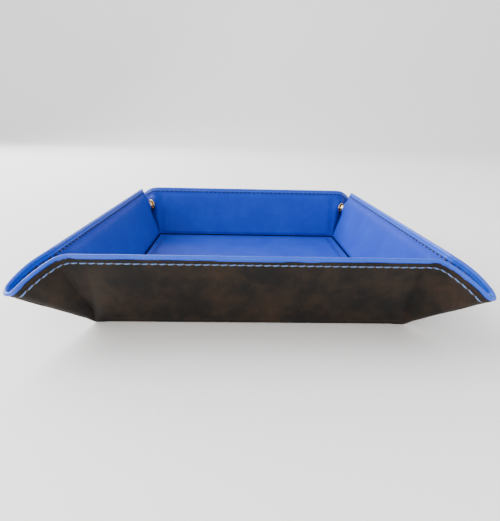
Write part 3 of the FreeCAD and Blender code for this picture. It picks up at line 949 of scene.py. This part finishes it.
def stitch_grid(length, radius, dip):
    """Middle line offsets of one stitch: along, across and over the leather, (rings, sides).

    The radius follows a square root of a half circle towards the ends, so they are round, and the
    height goes down by dip times the fourth power of the way out.
    """
    way = -np.cos(np.linspace(0, math.pi, STITCH_RINGS))
    size = radius * np.sqrt(np.clip(1 - way ** 6, 0.0, 1))
    size[[0, -1]] = 0.02 * radius
    side = np.linspace(0, 2 * math.pi, STITCH_SIDES, endpoint=False)
    along = (way * length / 2)[:, None] + 0 * side[None, :]
    across = size[:, None] * np.cos(side)[None, :]
    over = size[:, None] * np.sin(side)[None, :] * 0.8 - dip * (way ** 4)[:, None]
    return along, across, over


def tube_faces(rings, sides, count):
    """Quads of count closed tubes with capped ends, as one array of four corners each."""
    ring, side = np.meshgrid(np.arange(rings - 1), np.arange(sides), indexing="ij")
    corner, following = ring * sides + side, ring * sides + (side + 1) % sides
    quads = np.stack([corner, following, following + sides, corner + sides], -1).reshape(-1, 4)
    shifts = (np.arange(count) * rings * sides)[:, None, None]
    return (quads[None] + shifts).reshape(-1, 4)


def stitch_mesh(name, points, material, flip=False):
    """One mesh of many stitches, from points shaped (stitches, rings, sides, 3)."""
    count, rings, sides = points.shape[:3]
    quads = tube_faces(rings, sides, count)
    first = np.arange(count)[:, None] * rings * sides
    start = first + np.arange(sides)[None, ::-1]
    stop = first + (rings - 1) * sides + np.arange(sides)[None, :]
    faces = quads.tolist() + start.tolist() + stop.tolist()
    if flip:
        faces = [face[::-1] for face in faces]
    return add_mesh(name, points.reshape(-1, 3), faces, [material], sharp=80)


STITCHES = {
    "outside": (OUTER_STITCH, OUTSIDE, -1, 3.4 * MM, 0.36 * MM, 0.5, PALE_THREAD),
    # Short brown marks over the holes between the outside stitches.
    "knots": (OUTER_STITCH, OUTSIDE, -1, 0.9 * MM, 0.30 * MM, 1.0, BROWN_HOLE_MARKS),
    "inside": (INNER_STITCH, 0.0, 1, 2.5 * MM, 0.48 * MM, 0.5, DARK_THREAD_AND_HOLE_SHADE),
}


def stitch_line(face, starts):
    """Flat run, distance from the edge and height of every point of the stitches on one face."""
    stitch, level, up, length, radius, _, _ = STITCHES[face]
    along, across, over = stitch_grid(length, radius, STITCH_DIP)
    slant = STITCH_SLANT * along / (length / 2)
    run = starts[:, None, None] + along[None]
    distance = stitch + (across + slant)[None] + 0 * run
    height = level + up * (over + STITCH_PROUD)[None] + 0 * run
    return run, distance, height


def wall_stitches(face, half):
    """Stitches along a wall, whose holes lie at whole pitches from its +X end."""
    starts = half - (np.arange(int(2 * half / STITCH_PITCH)) + STITCHES[face][5]) * STITCH_PITCH
    run, distance, height = stitch_line(face, starts)
    return fold_wall(run, SLOPE - distance, height, np.full_like(run, RISE), half)


def ear_stitches(face, hand):
    """Stitches along an ear, from its wall to the last whole stitch before the fold."""
    starts = (np.arange(int(EDGE_LENGTH / STITCH_PITCH)) + STITCHES[face][5]) * STITCH_PITCH
    run, distance, height = stitch_line(face, starts)
    edge, inward = edge_path(run)
    flat = edge + distance[..., None] * inward
    return fold_corner(flat[..., 0], flat[..., 1], height) * np.array([hand, 1, 1])


def add_stitches(name, turn, half, across, ends):
    """Both lines of stitching of a wall and of its two ears."""
    wall = f"{name}_wall"
    for face, (*_, material) in STITCHES.items():
        points = into_row(wall_stitches(face, half), turn, across)
        piece = stitch_mesh(f"{wall}_{face}_stitches", points, material, flip=face != "inside")
        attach(piece, wall)
        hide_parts(f"{wall}_stitching")
        for hand, end in zip((1, -1), ends):
            ear = f"{wall}_{end}_ear"
            points = ear_place(ear_stitches(face, hand), hand, turn, half, across)
            piece = stitch_mesh(f"{ear}_{face}_stitches", points, material,
                                flip=(face != "inside") != (hand < 0))
            between_wall_and_ear(piece, hand, turn, half, across)
            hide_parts(f"{ear}_stitching")


for name, turn, half, across, ends in WALLS:
    add_stitches(name, turn, half, across, ends)


def base_stitches():
    """The square of stitching in the base: four sides of whole stitches."""
    along, across, over = stitch_grid(BASE_STITCH_LENGTH, BASE_STITCH_RADIUS, BASE_STITCH_DIP)
    sides = []
    for sign, swap in ((1, False), (-1, False), (1, True), (-1, True)):
        near, far = (HALF_DEPTH, HALF_WIDTH) if swap else (HALF_WIDTH, HALF_DEPTH)
        length = 2 * (near - BASE_STITCH_INSET)
        count = int(length / STITCH_PITCH)
        starts = (np.arange(count) + 0.5) * (length / count) - length / 2
        run = starts[:, None, None] + along[None]
        aside = sign * (far - BASE_STITCH_INSET + across[None] + 0 * run)
        height = SURFACE + over[None] - BASE_STITCH_SUNK + 0 * run
        order = (aside, run) if swap else (run, aside)
        points = np.stack([*order, height], -1)
        sides.append(points[:, :, ::-sign if swap else sign])
    piece = stitch_mesh("base_stitches", np.concatenate(sides), BASE_THREAD)
    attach(piece, "base")
    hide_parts("base_stitching")
    print("base stitches", sum(len(side) for side in sides))


base_stitches()


# %% [markdown]
# A snap has two brass halves. The stud is a round flange with a ball-ended knob. The socket is a
# cup with a rolled rim and a mouth that the knob clicks into. Each is a profile turned on a lathe:
# a line of radius and height, carried once round the axis.

# %% Snaps
LATHE_STEPS = 48


def rounded_profile(corners, radius):
    """A profile through corners with each inner corner rounded by a quarter-turn-like curve.

    Near a corner the line follows a quadratic curve: (1-t)^2 a + 2t(1-t) corner + t^2 b.
    """
    corners = np.array(corners, float)
    t = np.linspace(0, 1, 5)[:, None]
    line = [corners[:1]]
    for before, here, after in zip(corners, corners[1:], corners[2:]):
        cuts = []
        for other in (before, after):
            step = other - here
            length = np.linalg.norm(step)
            cuts.append(here + step / length * min(radius, 0.45 * length))
        line.append((1 - t) ** 2 * cuts[0] + 2 * t * (1 - t) * here + t ** 2 * cuts[1])
    line.append(corners[-1:])
    return np.concatenate(line)


def lathe(name, profile, seat, axis, material):
    """Turn a profile of (radius, height) about an axis through the seat."""
    side = np.cross(axis, UP)
    side = side / np.linalg.norm(side)
    third = np.cross(axis, side)
    angle = np.linspace(0, 2 * math.pi, LATHE_STEPS, endpoint=False)
    ring = np.cos(angle)[:, None] * side + np.sin(angle)[:, None] * third
    radius, height = profile[:, 0], profile[:, 1]
    points = seat + radius[:, None, None] * ring[None] + (height[:, None] * axis)[:, None]
    rows = len(profile)
    number = np.arange(rows * LATHE_STEPS).reshape(rows, LATHE_STEPS)
    number = np.concatenate([number, number[:, :1]], axis=1)
    faces = np.stack([number[:-1, :-1], number[:-1, 1:], number[1:, 1:], number[1:, :-1]], -1)
    points, lists, _ = tidy_faces(points.reshape(-1, 3), faces.reshape(-1, 4))
    return add_mesh(name, points, lists, [material], sharp=60)


STUD_DISC, SOCKET_DISC = 0.8 * MM, 2.8 * MM
PROFILE_ROUND = 0.25 * MM
STUD_PROFILE = rounded_profile(np.array([
    (0, 0), (5.0, 0), (5.0, 0.45), (4.6, 0.8), (2.6, 0.8), (2.3, 1.05), (1.35, 1.15), (1.25, 1.7),
    (1.62, 2.2), (1.55, 2.8), (0.9, 3.0), (0, 3.0)]) * MM, PROFILE_ROUND)
SOCKET_PROFILE = rounded_profile(np.array([
    (0, 0), (5.0, 0), (5.05, 0.5), (4.75, 0.95), (4.75, 2.2), (4.4, 2.8), (3.1, 2.8), (2.75, 2.35),
    (2.3, 2.5), (2.0, 2.3), (2.0, 0.6), (0, 0.6)]) * MM, PROFILE_ROUND)


def snap_half(node, middle_height):
    """Seat and axis of a snap half, from its CAD solid: the axis is square to the diagonal.

    The middle of the solid's box lies on the axis, half the height of its widest disc from the
    seat.
    """
    low, high = (np.array(corner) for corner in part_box(node))
    middle = (low + high) / 2
    corner = np.sign(middle[:2]) * np.array([HALF_WIDTH, HALF_DEPTH])
    across = np.array([-np.sign(middle[1]), np.sign(middle[0]), 0]) / math.sqrt(2)
    aside = (middle[:2] - corner) @ across[:2]
    axis = -across * np.sign(aside)
    return middle - axis * middle_height, axis


def make_snaps():
    """Stud and socket at each corner."""
    for corner in ("front_left", "front_right", "rear_left", "rear_right"):
        long_side, short_side = corner.split("_")
        for half, profile, disc, body in (
            ("stud", STUD_PROFILE, STUD_DISC, f"{long_side}_wall_{short_side}_ear"),
            ("socket", SOCKET_PROFILE, SOCKET_DISC, f"{short_side}_wall_{long_side}_ear"),
        ):
            node = f"{corner}_snap_{half}"
            seat, axis = snap_half(node, disc / 2)
            piece = lathe(f"{node}_brass", profile, seat, axis, BRASS)
            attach(piece, body)
            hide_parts(node)


make_snaps()


# %% [markdown]
# The tray stands on a plain pale table in soft light: a large panel like a window on the left, a
# weak one behind, a warm one low at the front left, and an even, bright surrounding.

# %% Table and light
def add_panel(name, place, target, size, power, colour=(1, 1, 1)):
    """Square soft light at a place, turned to a target."""
    data = bpy.data.lights.new(name, "AREA")
    data.size = size
    data.energy = power
    data.color = colour
    light = bpy.data.objects.new(name, data)
    toward = np.array(target, float) - np.array(place, float)
    toward = toward / np.linalg.norm(toward)
    side = np.cross(toward, UP)
    side = side / np.linalg.norm(side)
    stand(light, side, np.cross(side, toward), toward, place)


def add_table():
    """A wide pale table top that curves up far behind the tray into a backdrop."""
    reach, bend = 3.0, 0.8
    along = np.linspace(-reach, reach, 3)
    turn = np.linspace(0, math.pi / 2, 16)
    y = np.concatenate([[-reach, 0], reach / 2 + bend * np.sin(turn), [reach / 2 + bend]])
    z = np.concatenate([[0, 0], bend * (1 - np.cos(turn)), [reach]])
    x, y = np.meshgrid(along, y, indexing="xy")
    points = np.stack([x, y, np.broadcast_to(z[:, None], x.shape)], -1)
    finish = Finish("pale_table")
    finish.set(Base_Color=rgba(250, 250, 250), Roughness=0.6)
    faces = grid_faces(*x.shape)
    table = add_mesh("table", points.reshape(-1, 3), faces.tolist(), [finish.material])


def add_surrounding(strength):
    """Even white light from everywhere."""
    world = bpy.data.worlds.new("studio")
    world.use_nodes = True
    light = world.node_tree.nodes["Background"].inputs
    light["Color"].default_value = (1, 1, 1, 1)
    light["Strength"].default_value = strength
    bpy.context.scene.world = world


add_table()
add_surrounding(1.4)
add_panel("window", (-1.1, 0.45, 0.8), (0, 0, 0), 1.0, 38)
add_panel("back_window", (-0.5, 1.3, 0.9), (0, 0, 0), 0.5, 8)
add_panel("warm_fill", (-0.85, -0.9, 0.35), (0, 0, 0.02), 0.7, 9, (1, 0.84, 0.68))
